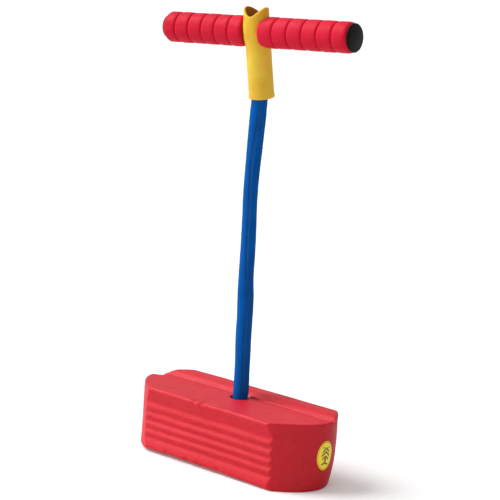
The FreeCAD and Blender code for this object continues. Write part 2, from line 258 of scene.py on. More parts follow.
def ring_faces(count, size, closed=False):
    """Faces that join count rings of size points, with end caps unless the skin is closed."""
    faces = []
    for i in range(count if closed else count - 1):
        a, b = i * size, ((i + 1) % count) * size
        for j in range(size):
            k = (j + 1) % size
            faces.append((a + j, a + k, b + k, b + j))
    if not closed:
        faces.append(tuple(range(size))[::-1])
        faces.append(tuple(range((count - 1) * size, count * size)))
    return faces


def loft(name, rings, closed=False, **options):
    """Rings of equal point counts joined in order. closed joins the last to the first."""
    rings = np.asarray(rings, float)
    faces = ring_faces(*rings.shape[:2], closed)
    return make(name, rings.reshape(-1, 3), faces, **options)


def ring_at(centre, side_a, side_b, radius, angles):
    across = side_a * (radius * np.cos(angles))[:, None]
    return centre + across + side_b * (radius * np.sin(angles))[:, None]


def revolve(name, profile, centre, axis=(0, 0, 1), ref=(1, 0, 0), segments=96, wobble=None,
            closed=True, sharp=None):
    """(radius, height) points turned about axis. closed joins the profile's two ends."""
    axis = np.array(axis, float)
    axis /= np.linalg.norm(axis)
    side_a = np.array(ref, float)
    side_a -= axis * side_a.dot(axis)
    side_a /= np.linalg.norm(side_a)
    side_b = np.cross(axis, side_a)
    angles = turn(segments)
    rings, uvs = [], []
    for r, h in profile:
        radius = r if wobble is None else r + wobble(r, h, angles)
        rings.append(ring_at(np.asarray(centre) + axis * h, side_a, side_b, radius, angles))
        uvs += [(k / segments, h / UV_LENGTH) for k in range(segments)]
    return loft(name, rings, closed=closed, uvs=uvs, sharp=sharp)


def subtract(ob, cutter):
    """Cuts cutter out of ob and removes it."""
    mod = ob.modifiers.new("cut", "BOOLEAN")
    mod.operation = "DIFFERENCE"
    mod.solver = "EXACT"
    mod.object = cutter
    depsgraph = bpy.context.evaluated_depsgraph_get()
    mesh = bpy.data.meshes.new_from_object(ob.evaluated_get(depsgraph))
    ob.modifiers.clear()
    old = ob.data
    mesh.name = old.name
    ob.data = mesh
    bpy.data.meshes.remove(old)
    bpy.data.objects.remove(cutter)


def dress(ob, *materials):
    ob.data.materials.clear()
    for material in materials:
        ob.data.materials.append(material)


# ---------------------------------------------------------------- material builder
def rgb(r, g, b):
    """Linear colour from 0-255 sRGB."""
    out = []
    for c in (r / 255.0, g / 255.0, b / 255.0):
        out.append(c / 12.92 if c <= 0.04045 else ((c + 0.055) / 1.055) ** 2.4)
    return (*out, 1.0)


def scaled(color, gain, lift=0.0):
    return tuple(min(1.0, k * gain + lift) for k in color[:3]) + (1.0,)


class Mat:
    """A small builder round one Principled shader."""

    INPUTS = dict(
        metal="Metallic", spec="Specular IOR Level",
        sheen="Sheen Weight", sheen_rough="Sheen Roughness", sheen_tint="Sheen Tint",
        coat="Coat Weight", coat_rough="Coat Roughness",
        sss="Subsurface Weight", sss_scale="Subsurface Scale",
        glow="Emission Color", glow_strength="Emission Strength",
    )

    def __init__(self, name):
        self.material = bpy.data.materials.new(name)
        self.material.use_nodes = True
        self.tree = self.material.node_tree
        self.nodes = self.tree.nodes
        self.shader = self.nodes["Principled BSDF"]
        self.normal = None
        coords = self.nodes.new("ShaderNodeTexCoord")
        self.object_coords, self.uv = coords.outputs["Object"], coords.outputs["UV"]

    def feed(self, value, socket):
        """Links a socket, or sets a plain value."""
        if isinstance(value, bpy.types.NodeSocket):
            self.tree.links.new(value, socket)
        else:
            socket.default_value = value

    def set(self, **values):
        for key, value in values.items():
            self.feed(value, self.shader.inputs[self.INPUTS[key]])

    def noise(self, scale, detail=3.0, rough=0.55, stretch=(1, 1, 1), distortion=0.0):
        mapping = self.nodes.new("ShaderNodeMapping")
        mapping.inputs["Scale"].default_value = stretch
        self.feed(self.object_coords, mapping.inputs["Vector"])
        node = self.nodes.new("ShaderNodeTexNoise")
        node.inputs["Scale"].default_value = scale
        node.inputs["Detail"].default_value = detail
        node.inputs["Roughness"].default_value = rough
        node.inputs["Distortion"].default_value = distortion
        self.feed(mapping.outputs["Vector"], node.inputs["Vector"])
        return node.outputs["Fac"]

    def cells(self, scale):
        node = self.nodes.new("ShaderNodeTexVoronoi")
        node.inputs["Scale"].default_value = scale
        self.feed(self.object_coords, node.inputs["Vector"])
        return node.outputs["Distance"]

    def math(self, operation, *values, clamp=False):
        node = self.nodes.new("ShaderNodeMath")
        node.operation = operation
        node.use_clamp = clamp
        for value, socket in zip(values, node.inputs):
            self.feed(value, socket)
        return node.outputs[0]

    def ramp(self, value, over, to=(0.0, 1.0)):
        """Maps the range over onto the range to."""
        node = self.nodes.new("ShaderNodeMapRange")
        node.inputs["From Min"].default_value, node.inputs["From Max"].default_value = over
        node.inputs["To Min"].default_value, node.inputs["To Max"].default_value = to
        self.feed(value, node.inputs["Value"])
        return node.outputs["Result"]

    def mix(self, mask, a, b):
        node = self.nodes.new("ShaderNodeMix")
        node.data_type = "RGBA"
        node.clamp_factor = True
        for value, index in ((mask, 0), (a, 6), (b, 7)):  # factor and the two colours
            self.feed(value, node.inputs[index])
        return node.outputs[2]

    def bump(self, height, strength, distance):
        """Adds relief on top of the bumps made so far."""
        node = self.nodes.new("ShaderNodeBump")
        node.inputs["Strength"].default_value = strength
        node.inputs["Distance"].default_value = distance
        self.feed(height, node.inputs["Height"])
        if self.normal is not None:
            self.feed(self.normal, node.inputs["Normal"])
        self.normal = node.outputs["Normal"]
        self.feed(self.normal, self.shader.inputs["Normal"])

    def color(self, value):
        self.feed(value, self.shader.inputs["Base Color"])

    def roughness(self, source, span):
        self.feed(self.ramp(source, over=(0.3, 0.7), to=span), self.shader.inputs["Roughness"])

    def edges(self, over=(0.51, 0.56)):
        """Mask of the outward edges, where wear shows."""
        geometry = self.nodes.new("ShaderNodeNewGeometry")
        return self.ramp(geometry.outputs["Pointiness"], over=over)


# ---------------------------------------------------------------- materials
def foam(name, dark, mid, light, sheen, wear=0.25, rough=(0.5, 0.68), pore=0.5, spec=0.22,
         mottle=0.3):
    """Closed-cell foam: blotches, fine streaks of paler and deeper skin, pores and cells."""
    m = Mat(name)
    pale = scaled(light, gain=1.05, lift=0.012)
    deep = scaled(dark, gain=0.84)
    m.set(spec=spec, sheen=sheen, sheen_rough=0.4, sheen_tint=rgb(255, 170, 195))
    blotches = m.noise(scale=38, detail=4, rough=0.6)
    specks = m.noise(scale=620, detail=2, rough=0.6)
    c = m.mix(m.ramp(blotches, over=(0.36, 0.66)), mid, light)
    clouds = m.noise(scale=11, detail=2, rough=0.5)
    c = m.mix(m.ramp(clouds, over=(0.45, 0.7), to=(0, 0.5)), c, dark)
    c = m.mix(m.ramp(specks, over=(0.55, 0.75), to=(0, 0.22)), c, dark)
    streaks = m.noise(scale=300, rough=0.7, stretch=(0.22, 1, 1))
    c = m.mix(m.ramp(streaks, over=(0.40, 0.68), to=(0, mottle)), c, pale)
    stains = m.noise(scale=210, rough=0.7)
    c = m.mix(m.ramp(stains, over=(0.50, 0.74), to=(0, mottle)), c, deep)
    patchy = m.ramp(m.noise(scale=160, rough=0.7), over=(0.4, 0.65), to=(0.2, 1.0))
    worn = m.math("MULTIPLY", m.edges(), patchy)
    m.color(m.mix(m.math("MULTIPLY", worn, wear), c, light))
    m.roughness(m.noise(scale=90, rough=0.6), span=rough)
    cells = m.cells(scale=900)
    pits = m.ramp(m.cells(scale=260), over=(0.0, 0.22))
    m.bump(m.noise(scale=30, rough=0.5), strength=0.16, distance=0.0009)
    m.bump(pits, strength=0.10 * pore, distance=0.0006)
    m.bump(cells, strength=0.30 * pore, distance=0.00035)
    m.bump(m.noise(scale=2400, detail=2, rough=0.6), strength=0.22 * pore, distance=0.0002)
    return m.material


def woven_cover(name, threads=44, pitch=8.0):
    """Woven tube cover: fine braid from the tube's own u (round) and v (along)."""
    m = Mat(name)
    m.set(spec=0.05, sheen=0.0, sheen_rough=0.35, sheen_tint=rgb(10, 140, 235))
    split = m.nodes.new("ShaderNodeSeparateXYZ")
    m.feed(m.uv, split.inputs[0])
    u, v = split.outputs[0], split.outputs[1]

    def strand(operation):
        """Helical ridges, ADD and SUBTRACT wind opposite ways."""
        around = m.math("MULTIPLY", u, threads)
        along = m.math("MULTIPLY", v, threads * pitch)
        phase = m.math("MULTIPLY", m.math(operation, around, along), 2 * math.pi)
        return m.math("SINE", phase)

    one, other = strand("ADD"), strand("SUBTRACT")
    weave = m.math("MAXIMUM", one, other)
    crossings = m.math("MULTIPLY", one, other)
    relief = m.ramp(weave, over=(-1, 1))
    blotches = m.noise(scale=30, rough=0.6)
    c = m.mix(m.ramp(blotches, over=(0.35, 0.65)), rgb(0, 86, 168), rgb(0, 99, 186))
    c = m.mix(m.ramp(crossings, over=(-1, 1), to=(0.0, 0.28)), c, rgb(2, 44, 104))
    streaks = m.noise(scale=260, detail=2, rough=0.6, stretch=(1, 1, 0.12))
    c = m.mix(m.ramp(streaks, over=(0.52, 0.75), to=(0, 0.3)), c, rgb(4, 100, 186))
    crease = m.nodes.new("ShaderNodeAttribute")
    crease.attribute_name = "marks"
    patchy = m.ramp(m.noise(scale=120, rough=0.7), over=(0.3, 0.6), to=(0.35, 1.0))
    crease = m.math("MULTIPLY", crease.outputs["Fac"], patchy)
    strength = 0.62  # of the greyer colour in the crease
    m.color(m.mix(m.math("MULTIPLY", crease, strength, clamp=True), c, rgb(66, 82, 116)))
    m.roughness(m.noise(scale=120, detail=2, rough=0.5), span=(0.5, 0.68))
    m.bump(m.noise(scale=40, stretch=(1, 1, 0.35)), strength=0.35, distance=0.0012)
    m.bump(m.noise(scale=420, detail=2, stretch=(1, 1, 0.15)), strength=0.25, distance=0.0003)
    m.bump(relief, strength=0.30, distance=0.0002)
    return m.material


def rubber(name, dark, light, rough=(0.45, 0.62), sss=0.0, wear=0.3, spec=0.4):
    """Matt rubber with a fine grain. sss lets a little light through."""
    m = Mat(name)
    m.set(spec=spec)
    if sss:
        m.set(sss=sss, sss_scale=0.004)
    c = m.mix(m.ramp(m.noise(scale=24), over=(0.36, 0.66)), dark, light)
    specks = m.noise(scale=340, detail=2, rough=0.6)
    c = m.mix(m.ramp(specks, over=(0.5, 0.78), to=(0, 0.18)), c, dark)
    m.color(m.mix(m.math("MULTIPLY", m.edges(), wear), c, light))
    m.roughness(m.noise(scale=70, rough=0.6), span=rough)
    m.bump(m.noise(scale=30, detail=2, rough=0.5), strength=0.22, distance=0.0008)
    m.bump(m.cells(scale=1100), strength=0.14, distance=0.0002)
    m.bump(m.noise(scale=1800, detail=2), strength=0.16, distance=0.00015)
    return m.material


def plastic(name, dark, light, rough=(0.25, 0.4), spec=0.5):
    """Hard moulded plastic with paler edges and fine scratches."""
    m = Mat(name)
    m.set(spec=spec)
    c = m.mix(m.ramp(m.noise(scale=45, rough=0.6), over=(0.35, 0.65)), dark, light)
    patchy = m.ramp(m.noise(scale=300, rough=0.7), over=(0.4, 0.65))
    worn = m.math("MULTIPLY", m.edges(over=(0.52, 0.58)), patchy)
    wear = 0.5
    m.color(m.mix(m.math("MULTIPLY", worn, wear), c, scaled(light, gain=1.6, lift=0.02)))
    m.roughness(m.noise(scale=150, detail=4, rough=0.7, stretch=(1, 6, 1)), span=rough)
    m.bump(m.noise(scale=1500, detail=2, rough=0.5), strength=0.10, distance=0.0001)
    scratches = m.noise(scale=220, detail=5, rough=0.8, stretch=(1, 14, 1), distortion=0.4)
    m.bump(scratches, strength=0.08, distance=0.0001)
    return m.material


def metal(name, dark, light, brushed=(1, 1, 22)):
    """Brushed metal. brushed stretches the noise on each axis."""
    m = Mat(name)
    m.set(metal=1.0)
    blotches = m.noise(scale=60, detail=4, rough=0.65)
    c = m.mix(m.ramp(blotches, over=(0.35, 0.65)), dark, light)
    spots = m.ramp(m.cells(scale=420), over=(0.0, 0.18), to=(1.0, 0.0))
    spot_strength = 0.3
    m.color(m.mix(m.math("MULTIPLY", spots, spot_strength), c, dark))
    m.roughness(m.noise(scale=260, detail=4, rough=0.7, stretch=brushed), span=(0.22, 0.4))
    m.bump(m.noise(scale=900, rough=0.6, stretch=brushed), strength=0.12, distance=0.0001)
    return m.material


def film(name, dark, light, gloss=0.3, glow=None):
    """Printed film. glow is painted light: an emission that makes the ink brighter than the lamps
    alone light it.
    """
    m = Mat(name)
    m.set(spec=0.5, coat=0.25, coat_rough=0.2)
    c = m.mix(m.ramp(m.noise(scale=110, detail=4, rough=0.6), over=(0.35, 0.68)), dark, light)
    specks = m.noise(scale=700, detail=2, rough=0.7)
    m.color(m.mix(m.ramp(specks, over=(0.58, 0.72), to=(0, 0.35)), c, dark))
    m.roughness(m.noise(scale=200, rough=0.6), span=(gloss, gloss + 0.2))
    m.bump(m.noise(scale=350, rough=0.6), strength=0.15, distance=0.00025)
    if glow:
        # painted light: a faint glow lifts the film out of the end's shade
        m.set(glow=glow, glow_strength=0.13)
    return m.material


BLOCK_FOAM = foam("block_foam", dark=rgb(205, 8, 26), mid=rgb(212, 10, 33), light=rgb(218, 17, 43),
                  wear=0.6, sheen=0.07, rough=(0.44, 0.56), spec=0.33, mottle=0.5)
PLUG_FOAM = foam("plug_foam", dark=rgb(178, 12, 26), mid=rgb(196, 16, 34), light=rgb(208, 26, 44),
                 sheen=0.05, pore=0.9)
GRIP_FOAM = foam("grip_foam", dark=rgb(206, 3, 38), mid=rgb(217, 6, 46), light=rgb(226, 14, 56),
                 wear=0.3, sheen=0.04, rough=(0.45, 0.62), pore=0.8, spec=0.16)
CORD_COVER = woven_cover("cord_cover")
COLLAR_RUBBER = rubber("collar_rubber", dark=rgb(239, 190, 47), light=rgb(248, 210, 69),
                       rough=(0.48, 0.62), sss=0.3, wear=0.5, spec=0.3)
# painted shade: a darker amber on the collar's inner wall stands in for the shade inside the tube
COLLAR_INSIDE_PAINTED_SHADE = rubber("collar_inside_painted_shade", dark=rgb(176, 108, 22), light=rgb(190, 124, 34),
                       rough=(0.6, 0.75), spec=0.2)
CORD_RUBBER = rubber("cord_rubber", dark=rgb(196, 168, 120), light=rgb(214, 190, 146),
                     rough=(0.5, 0.7))
SQUEAKER_SOFT = rubber("squeaker_soft", dark=rgb(206, 206, 200), light=rgb(226, 226, 220),
                       rough=(0.35, 0.5), sss=0.1)
CAP_PLASTIC = plastic("cap_plastic", dark=rgb(4, 6, 5), light=rgb(9, 11, 9),
                      rough=(0.30, 0.44), spec=0.14)
HUB_PLASTIC = plastic("hub_plastic", dark=rgb(196, 198, 196), light=rgb(214, 216, 213))
ANCHOR_PLASTIC = plastic("anchor_plastic", dark=rgb(38, 40, 44), light=rgb(52, 54, 58),
                         rough=(0.35, 0.5))
SQUEAKER_PLASTIC = plastic("squeaker_plastic", dark=rgb(214, 214, 208), light=rgb(232, 232, 226))
ZINC_STEEL = metal("zinc_steel", dark=rgb(150, 152, 154), light=rgb(190, 192, 194))
BAR_STEEL = metal("bar_steel", dark=rgb(138, 141, 146), light=rgb(178, 182, 188),
                  brushed=(22, 1, 1))
# painted light: the label film glows so it looks brighter on the shaded end
LABEL_FILM_PAINTED_GLOW = film("label_film", dark=rgb(252, 224, 32), light=rgb(255, 236, 50),
                  glow=rgb(255, 206, 8))
LABEL_PRINT = film("label_print", dark=rgb(128, 92, 34), light=rgb(150, 112, 46), gloss=0.4)

# CAD pieces that keep their own meshes
NODE_MATERIALS = {
    "tail_ferrule": ZINC_STEEL, "anchor_washer": ZINC_STEEL, "upper_ferrule": ZINC_STEEL,
    "bar_bolt": ZINC_STEEL, "handlebar_tube": BAR_STEEL, "anchor_plate": ANCHOR_PLASTIC,
    "top_plug": HUB_PLASTIC, "plug_retainer": HUB_PLASTIC, "squeaker_case": SQUEAKER_PLASTIC,
    "squeaker_reed": SQUEAKER_PLASTIC, "squeaker_cap": SQUEAKER_PLASTIC,
}
for node, material in NODE_MATERIALS.items():
    dress(frame["nodes"][node], material)

# ---------------------------------------------------------------- foam block
BLOCK_MAX = mm_box("foam_block")[1]
EDGE_LENGTH = 223.0  # block's length where the bow of its ends reaches zero
BOW_WIDTH = 112.2  # width in y over which the ends bow
BLOCK_TOP = 85.6
STRIP_TOP = float(BLOCK_MAX[2])  # raised strip along the rear of the top
REAR_Y = 45.0
FLUTE_PITCH = 11.8
FLUTE_Z = [65.1 - FLUTE_PITCH * i for i in range(5)]
FLUTE_Y = -56.1  # floor of the front flutes
RIGHT_BULGE = float(BLOCK_MAX[0]) - EDGE_LENGTH / 2
LEFT_BULGE, LEFT_SWELL, LEFT_SWELL_TOP = 42.0, 5.0, 86.0
RIGHT_TAPER, TAPER_FRONT_Y = 12.0, -56.0  # the +X end draws in towards the rear foot

# the outline's fixed points, (y, z)
FRONT_FOOT = [(-54.0, 0.0), (-57.2, 1.2), (-58.9, 3.8), (-58.7, 8.0), (-57.5, 13.0)]
FRONT_SHOULDER = [
    (-56.9, 70.0), (-58.7, 75.0), (-60.3, 79.6), (-61.0, 82.2), (-60.4, 84.2), (-58.4, 85.5),
    (-55.8, BLOCK_TOP),
]
TOP = [
    (-55.8, BLOCK_TOP), (-30, BLOCK_TOP), (0, BLOCK_TOP), (8.0, BLOCK_TOP),
    (9.1, BLOCK_TOP + 0.5), (9.9, BLOCK_TOP + 1.9), (11.6, BLOCK_TOP + 1.9),
    (12.4, BLOCK_TOP + 0.4), (13.0, BLOCK_TOP - 2.1), (14.4, BLOCK_TOP - 3.0),
    (15.8, BLOCK_TOP - 2.2), (18.2, BLOCK_TOP + 0.2), (21.4, STRIP_TOP - 1.8),
    (25.0, STRIP_TOP - 0.3), (29, STRIP_TOP), (34, STRIP_TOP), (REAR_Y - 3.4, STRIP_TOP),
]
REAR_SHOULDER = [
    (REAR_Y - 3.4, STRIP_TOP), (REAR_Y - 1.1, STRIP_TOP - 0.9), (REAR_Y, STRIP_TOP - 3.6),
    (REAR_Y - 0.6, 80.0), (REAR_Y - 2.4, 71.0),
]
REAR_FOOT = [
    (REAR_Y - 2.6, 11.5), (REAR_Y - 2.0, 6.5), (REAR_Y - 3.4, 2.2), (REAR_Y - 7.0, 0.0),
]

# how far the front foot stands off the ground, (x, lift)
FOOT_LIFT = np.array([
    (-160, 2.3), (-111, 2.8), (-66, 3.5), (-32, 3.1), (7, 2.8), (33, 2.3), (72, 1.3),
    (111, 0.3), (160, 0.2),
])
# marks along the front edges, (x, width, depth)
PINCHES = (
    (-21.0, 3.2, 1.5), (-14.0, 2.2, -0.9), (-7.0, 3.4, 1.3), (-0.5, 2.0, -0.5),
    (52.0, 5.0, 0.5), (-80.0, 7.0, 0.4),
)
FOOT_NICKS = (
    (-68.0, 3.0, 1.0), (-31.0, 5.0, 1.1), (-12.0, 2.0, 0.8), (24.0, 4.0, 0.7), (70.0, 3.0, 0.6),
)


def bow(y):
    return 1 - (2 * y / BOW_WIDTH) ** 2


def right_end(y, z):
    """x of the bowed +X end."""
    down = np.clip((STRIP_TOP - z) / STRIP_TOP, 0, 1)
    back = np.clip((y - TAPER_FRONT_Y) / (REAR_Y - TAPER_FRONT_Y), 0, 1)
    return EDGE_LENGTH / 2 + RIGHT_BULGE * bow(y) - RIGHT_TAPER * down**3.2 * back**1.2


def left_end(y, z):
    """x of the bowed -X end."""
    down = np.clip((LEFT_SWELL_TOP - z) / LEFT_SWELL_TOP, 0, 1)
    return -(EDGE_LENGTH / 2 + (LEFT_BULGE + LEFT_SWELL * down**0.6) * bow(y))


# dents in the top edges of the ends, (x, y, z, radius, depth)
END_DENTS = (
    (float(right_end(-8.3, BLOCK_TOP)), -8.3, BLOCK_TOP, 2.3, 1.5),
    (float(left_end(6.5, BLOCK_TOP)) + 1.5, 6.5, BLOCK_TOP + 0.6, 7.0, 5.0),
)


def warp(points):
    """The block's own small unevenness, the same for every piece that sits on it."""
    v = np.array(points, float)
    x, y, z = v.T.copy()
    front = 1 - smooth(-58.0, -26.0, y)
    v[:, 2] += np.interp(x, *FOOT_LIFT.T) * np.clip(1 - z / 45.0, 0, 1) * front
    # soft waves that leave the cord's hole and the ground alone
    away = smooth(14.0, 26.0, np.hypot(x, y))
    soft_x = soft_noise(v, scale=48, seed=5.3)
    soft_y = soft_noise(v, scale=62, seed=3.1)
    soft_z = soft_noise(v, scale=54, seed=9.7)
    v[:, 0] += 0.45 * soft_x
    v[:, 1] += 0.45 * soft_y * away
    v[:, 2] += 0.40 * soft_z * away * smooth(0, 25, z)
    # pushed-in marks on the front top edge, then along the front foot
    top_edge = bell(y, -58.5, 3.4) * bell(z, 84.5, 4.0)
    foot = bell(y, -58.0, 3.0) * bell(z, 3.0, 3.5)
    for near, marks, rise in ((top_edge, PINCHES, -0.6), (foot, FOOT_NICKS, 0.8)):
        for mark_x, width, depth in marks:
            push = near * bell(x, mark_x, width) * depth
            v[:, 1] += push
            v[:, 2] += push * rise
    for *centre, radius, depth in END_DENTS:
        push = np.exp(-((v - centre) ** 2).sum(axis=1) / radius**2) * depth
        v[:, 2] -= push
        v[:, 0] -= push * 0.6 * np.sign(centre[0])
    return v


def block_outline():
    """Closed (y, z) outline: up the front, over the top, down the rear, along the ground."""
    front = list(FRONT_FOOT)
    for z in reversed(FLUTE_Z):
        front.append((FLUTE_Y, z))
        if z != FLUTE_Z[0]:
            front.append((-58.0, z + FLUTE_PITCH / 2))
    rear = list(REAR_SHOULDER)
    for z in FLUTE_Z:
        rear.append((REAR_Y - 4.0, z))
        if z != FLUTE_Z[-1]:
            rear.append((REAR_Y - 2.2, z - FLUTE_PITCH / 2))
    top = chaikin(TOP, rounds=2)
    flat, shaped = top[top[:, 0] < 7.0], top[top[:, 0] >= 7.0]
    parts = [
        spline(front + FRONT_SHOULDER, 86),
        resample(np.vstack([flat, shaped[:1]]), 34),
        resample(shaped, 72),
        spline(rear + REAR_FOOT, 78),
        resample([REAR_FOOT[-1], FRONT_FOOT[0]], 26),
    ]
    return np.vstack([part[:-1] for part in parts])


def block_rings():
    """Outline rings from the -X end's middle, along the body, to the +X end's middle."""
    outline = block_outline()
    y, z = outline.T
    heart = np.stack([np.clip(y, -24, 12), np.full(len(y), 45.0)], 1)
    inward = heart - outline
    inward /= np.linalg.norm(inward, axis=1)[:, None]
    # edge rounding of the two ends, larger on the strip and at the foot
    top_edge = smooth(60, 88, z) * smooth(-54, -40, y)
    strip = smooth(17, 24, y) * smooth(84, 89, z)
    foot = 1 - smooth(0, 12, z)
    right_round = 1.3 + 1.9 * strip + 0.8 * foot
    left_round = 1.5 + 4.2 * strip + 0.9 * top_edge + 1.0 * foot

    def end_rings(surface, rounding, sign):
        rings = []
        for k in range(1, 6):
            angle = k / 5 * math.pi / 2
            q = outline + inward * (rounding * (1 - math.cos(angle)))[:, None]
            x = surface(q[:, 0], q[:, 1]) - sign * rounding * (1 - math.sin(angle))
            rings.append(np.column_stack([x, q]))
        rim = outline + inward * rounding[:, None]
        for f in np.linspace(0, 1, 22)[1:-1] ** 0.95:
            q = rim + (heart - rim) * f * 0.95
            rings.append(np.column_stack([surface(q[:, 0], q[:, 1]), q]))
        return rings

    x_right = right_end(y, z) - right_round
    x_left = left_end(y, z) + left_round
    body = [
        np.column_stack([x_left + (x_right - x_left) * s, outline])
        for s in np.linspace(0, 1, 134)
    ]
    left = end_rings(left_end, left_round, -1)[::-1]
    return np.array(left + body + end_rings(right_end, right_round, 1))


def cut_block(ob):
    """The cord's hole, the anchor's recess and the squeaker's pocket."""

    def cut(profile, x, y=0.0, wobble=None):
        subtract(ob, revolve("cutter", profile, (x, y, 0), segments=72, wobble=wobble,
                             closed=False))

    def lean_room(radius, height, angles):
        # the mouth is wider at the back left, where the cord leans furthest
        towards = np.cos(angles - math.radians(138))
        return 1.4 * smooth(79.5, 84.2, height) * smooth(-0.2, 0.5, towards)

    mouth = [  # (radius, height)
        (11.5, 26.0), (11.5, 58.0), (11.1, 70.0), (10.8, 78.0), (10.95, 80.8), (11.2, 82.6),
        (11.55, BLOCK_TOP - 1.9), (11.85, BLOCK_TOP - 1.1), (12.25, BLOCK_TOP - 0.5),
        (12.75, BLOCK_TOP - 0.05), (13.4, BLOCK_TOP + 0.25), (13.6, BLOCK_TOP + 3),
    ]
    cut(mouth, x=0.15, y=0.05, wobble=lean_room)

    def recess(radius, top, flare, flare_top):
        return [(radius + flare, -3), (radius + flare, 0.0), (radius, flare_top), (radius, top)]

    radius, _, _, top = upright("anchor_plate")
    cut(recess(radius, top, flare=1.2, flare_top=1.4), x=0.0)
    radius, axis_point, _, _ = upright("squeaker_plug")
    cut(recess(radius, top=47.0, flare=1.0, flare_top=1.2), x=float(axis_point[0]))


def build_block():
    rings = block_rings()
    ob = loft("foam_block_skin", warp(rings.reshape(-1, 3)).reshape(rings.shape))
    tidy(ob.data, split_caps=True)
    cut_block(ob)
    shade(ob.data, sharp=48)
    dress(ob, BLOCK_FOAM)
    fit(ob, "foam_block", body="base", press=BLOCK_PRESS)


build_block()

# ---------------------------------------------------------------- label on the +X end
LABEL_LO, LABEL_HI = mm_box("end_label")
LABEL_Y, LABEL_Z = (float(LABEL_LO[i] + LABEL_HI[i]) / 2 for i in (1, 2))
LABEL_HALF_W, LABEL_HALF_H = 12.9, 18.4
LABEL_TURN = math.radians(4.0)
LABEL_LIFT, LABEL_CROWN = 0.40, 0.10  # film's height off the foam at its rim, extra at its middle
PRINT_SINK, PRINT_RISE = 0.06, 0.07  # printed plates below and above the film's face


def on_end(a, b, height):
    """Points a across and b up from the label's middle, height off the bowed end."""
    y = LABEL_Y + a * math.cos(LABEL_TURN) + b * math.sin(LABEL_TURN)
    z = LABEL_Z - a * math.sin(LABEL_TURN) + b * math.cos(LABEL_TURN)
    v = warp(np.stack([right_end(y, z), y, z], -1))
    v[:, 0] += height
    return v


def label_film_mesh():
    """The oval film, from its underside round the rim to its middle."""
    segments = 96
    angles = turn(segments)
    profile = [  # (fraction of the oval, height off the foam)
        (0.3, -0.15), (0.985, -0.15), (1.0, 0.02), (1.0, 0.20), (0.985, 0.34), (0.965, 0.38),
    ]
    profile += [(f, LABEL_LIFT + LABEL_CROWN * (1 - f * f)) for f in np.linspace(0.93, 0.06, 15)]
    rings = [
        on_end(LABEL_HALF_W * f * np.cos(angles), LABEL_HALF_H * f * np.sin(angles), h)
        for f, h in profile
    ]
    return np.vstack(rings), ring_faces(len(rings), segments)


def plate(corners, cols=6, rows=4):
    """A thin raised four-cornered plate that follows the label's face."""
    corners = np.array(corners, float)
    u, v = np.meshgrid(np.linspace(0, 1, cols + 1), np.linspace(0, 1, rows + 1), indexing="ij")
    u, v = u.ravel()[:, None], v.ravel()[:, None]
    flat = (1 - u) * (1 - v) * corners[0] + u * (1 - v) * corners[1]
    flat = flat + u * v * corners[2] + (1 - u) * v * corners[3]
    a, b = flat.T
    face = LABEL_LIFT + LABEL_CROWN * (1 - (a / LABEL_HALF_W) ** 2 - (b / LABEL_HALF_H) ** 2)
    verts = np.vstack([on_end(a, b, face - PRINT_SINK), on_end(a, b, face + PRINT_RISE)])

    def at(i, j, top):
        return top * len(flat) + i * (rows + 1) + j

    faces = []
    for i in range(cols):
        for j in range(rows):
            faces.append((at(i, j, 1), at(i + 1, j, 1), at(i + 1, j + 1, 1), at(i, j + 1, 1)))
            faces.append((at(i, j, 0), at(i, j + 1, 0), at(i + 1, j + 1, 0), at(i + 1, j, 0)))
    for i in range(cols):
        for j in (0, rows):
            faces.append((at(i, j, 0), at(i + 1, j, 0), at(i + 1, j, 1), at(i, j, 1)))
    for j in range(rows):
        for i in (0, cols):
            faces.append((at(i, j, 0), at(i, j + 1, 0), at(i, j + 1, 1), at(i, j, 1)))
    return verts, faces


def label_prints():
    """A rim line, three chevrons, a shaft with two feet and two diamonds."""
    plates = []
    angles = np.linspace(0, 2 * math.pi, 73)
    inner, outer = 0.915, 0.95
    for t0, t1 in zip(angles, angles[1:]):
        corners = ((inner, t0), (outer, t0), (outer, t1), (inner, t1))
        plates.append(plate(
            [(LABEL_HALF_W * f * math.cos(t), LABEL_HALF_H * f * math.sin(t)) for f, t in corners],
            cols=1, rows=1,
        ))
    # (foot of the arms, arm's reach, height, thickness)
    for foot, reach, height, thick in (
        (6.2, 5.6, 5.4, 3.2), (1.2, 6.6, 5.2, 2.9), (-3.4, 5.4, 4.2, 2.5),
    ):
        tip = foot + height
        for s in (-1, 1):
            arm = [(0, tip), (0, tip - thick), (s * reach, foot - thick), (s * reach, foot)]
            plates.append(plate(arm, cols=2, rows=8))
    shaft = [(-1.5, -2.4), (1.5, -2.4), (1.3, -10.4), (-1.3, -10.4)]
    plates.append(plate(shaft, cols=3, rows=8))
    for s in (-1, 1):
        plates.append(plate([(s * 1.5, -8.4), (s * 5.8, -10.2), (s * 5.6, -12.2), (s * 1.3, -10.6)]))
        diamond = [(s * 3.4, 10.6), (s * 4.8, 11.9), (s * 6.2, 10.4), (s * 4.8, 8.9)]
        plates.append(plate(diamond, cols=3, rows=3))
    return plates


def build_label():
    verts, faces = label_film_mesh()
    film_faces = len(faces)
    for plate_verts, plate_faces in label_prints():
        faces += [tuple(len(verts) + k for k in face) for face in plate_faces]
        verts = np.vstack([verts, plate_verts])
    ob = make("end_label_film", verts, faces)
    ob.data.name = "label_marks"
    dress(ob, LABEL_FILM_PAINTED_GLOW, LABEL_PRINT)
    for i, polygon in enumerate(ob.data.polygons):
        polygon.use_smooth = i < film_faces
        polygon.material_index = 0 if i < film_faces else 1
    fit(ob, "end_label", body="base", press=BLOCK_PRESS)


build_label()


